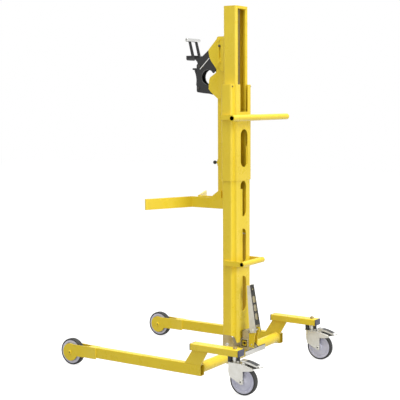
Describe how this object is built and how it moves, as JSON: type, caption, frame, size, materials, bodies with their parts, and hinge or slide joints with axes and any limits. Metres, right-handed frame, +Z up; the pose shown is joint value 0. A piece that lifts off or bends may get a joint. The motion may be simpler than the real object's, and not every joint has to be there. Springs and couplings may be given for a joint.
{
  "type": "drum lifter",
  "caption": "Straddle-leg lifter on wheels whose telescoping ram mast carries a rim clamp and a cradle to raise and move an upright drum.",
  "frame": {"origin": "on the floor, under the centre of the whole machine's box", "axes": "+Z up the mast, -Y towards the drum, +X towards the operator's left leg"},
  "size_m": [0.7822, 1.1195, 1.686],
  "materials": {
    "yellow_enamel": "safety yellow baked enamel on steel, satin",
    "black_enamel": "black enamel on steel, semi-gloss",
    "zinc_plate": "bright zinc plated pressed steel",
    "grey_nylon": "moulded pale grey wheel centre",
    "black_rubber": "black bonded rubber tread",
    "dark_plastic": "moulded dark plastic end plug",
    "cream_nylon": "natural nylon slide block",
    "bright_steel": "ground and plated steel",
    "cast_zinc": "cast pump body with passivated plating"
  },
  "bodies": {
    "base": {"leg_left": "yellow_enamel", "leg_right": "yellow_enamel", "caster_arm_left": "yellow_enamel", "caster_arm_right": "yellow_enamel", "arm_cap_front_left": "dark_plastic", "arm_cap_front_right": "dark_plastic", "arm_cap_rear_left": "dark_plastic", "arm_cap_rear_right": "dark_plastic", "front_axle_left": "zinc_plate", "front_axle_right": "zinc_plate", "caster_stem_left": "bright_steel", "caster_stem_right": "bright_steel", "cross_tube": "yellow_enamel", "tube_sleeve": "yellow_enamel", "foot_bracket_left": "zinc_plate", "foot_bracket_right": "zinc_plate", "lower_mast": "yellow_enamel", "mast_sleeve": "yellow_enamel", "upper_slide_block_left": "cream_nylon", "upper_slide_block_right": "cream_nylon", "ram_barrel": "zinc_plate", "push_handle": "yellow_enamel", "lower_handle": "yellow_enamel", "pump_body": "cast_zinc", "pedal_bracket": "yellow_enamel"},
    "carriage": {"inner_mast": "yellow_enamel", "lower_slide_block_left": "cream_nylon", "lower_slide_block_right": "cream_nylon", "ram_rod": "bright_steel", "carriage_bar": "yellow_enamel", "cradle": "yellow_enamel", "bumper": "yellow_enamel", "head_bracket_left": "yellow_enamel", "head_bracket_right": "yellow_enamel", "adjuster_plate_left": "yellow_enamel", "adjuster_plate_right": "yellow_enamel", "head_bolt_upper": "yellow_enamel", "head_bolt_lower": "yellow_enamel", "clamp_cheek_left": "black_enamel", "clamp_cheek_right": "black_enamel", "upper_jaw_pin": "zinc_plate", "lower_jaw_pin": "zinc_plate", "link_rod": "bright_steel"},
    "upper_jaw": {"upper_jaw": "black_enamel", "jaw_grip": "bright_steel"},
    "lower_jaw": {"lower_jaw": "black_enamel"},
    "pump_pedal": {"pump_pedal": "zinc_plate"},
    "release_pedal": {"release_pedal": "zinc_plate"},
    "caster_left": {"caster_fork_left": "zinc_plate"},
    "caster_right": {"caster_fork_right": "zinc_plate"},
    "caster_wheel_left": {"caster_hub_left": "grey_nylon", "caster_tyre_left": "black_rubber"},
    "caster_wheel_right": {"caster_hub_right": "grey_nylon", "caster_tyre_right": "black_rubber"},
    "brake_left": {"brake_pedal_left": "black_enamel"},
    "brake_right": {"brake_pedal_right": "black_enamel"},
    "front_wheel_left": {"front_hub_left": "grey_nylon", "front_tyre_left": "black_rubber"},
    "front_wheel_right": {"front_hub_right": "grey_nylon", "front_tyre_right": "black_rubber"}
  },
  "joints": [
    {"name": "mast_lift", "type": "slide", "parent": "base", "child": "carriage", "axis": [0, 0, 1], "range_m": [-0.515, 0.065]},
    {"name": "jaw_open", "type": "hinge", "parent": "carriage", "child": "upper_jaw", "pos_m": [0, 0.01375, 1.418], "axis": [-1, 0, 0], "range_deg": [0, 35]},
    {"name": "lower_jaw_swing", "type": "hinge", "parent": "carriage", "child": "lower_jaw", "pos_m": [0, 0.00975, 1.316], "axis": [-1, 0, 0], "range_deg": [0, 5.5]},
    {"name": "pump_stroke", "type": "hinge", "parent": "base", "child": "pump_pedal", "pos_m": [0, 0.31125, 0.198], "axis": [-1, 0, 0], "range_deg": [0, 35], "stiffness_Nm_per_rad": 6},
    {"name": "release_press", "type": "hinge", "parent": "base", "child": "release_pedal", "pos_m": [0, 0.29675, 0.128], "axis": [-1, 0, 0], "range_deg": [0, 12], "stiffness_Nm_per_rad": 5, "springref_deg": -2.86},
    {"name": "caster_swivel_left", "type": "hinge", "parent": "base", "child": "caster_left", "pos_m": [0.36, 0.41675, 0.16], "axis": [0, 0, 1], "continuous": true},
    {"name": "caster_swivel_right", "type": "hinge", "parent": "base", "child": "caster_right", "pos_m": [-0.36, 0.41675, 0.16], "axis": [0, 0, 1], "continuous": true},
    {"name": "caster_roll_left", "type": "hinge", "parent": "caster_left", "child": "caster_wheel_left", "pos_m": [0.36, 0.46155, 0.0635], "axis": [1, 0, 0], "continuous": true},
    {"name": "caster_roll_right", "type": "hinge", "parent": "caster_right", "child": "caster_wheel_right", "pos_m": [-0.36, 0.46155, 0.0635], "axis": [1, 0, 0], "continuous": true},
    {"name": "brake_press_left", "type": "hinge", "parent": "caster_left", "child": "brake_left", "pos_m": [0.36, 0.46875, 0.139], "axis": [-1, 0, 0], "range_deg": [0, 8]},
    {"name": "brake_press_right", "type": "hinge", "parent": "caster_right", "child": "brake_right", "pos_m": [-0.36, 0.46875, 0.139], "axis": [-1, 0, 0], "range_deg": [0, 8]},
    {"name": "front_roll_left", "type": "hinge", "parent": "base", "child": "front_wheel_left", "pos_m": [0.359, -0.49625, 0.0635], "axis": [1, 0, 0], "continuous": true},
    {"name": "front_roll_right", "type": "hinge", "parent": "base", "child": "front_wheel_right", "pos_m": [-0.359, -0.49625, 0.0635], "axis": [1, 0, 0], "continuous": true}
  ],
  "couplings": [
    {"joint": "lower_jaw_swing", "follows": "jaw_open", "ratio": 0.15}
  ]
}
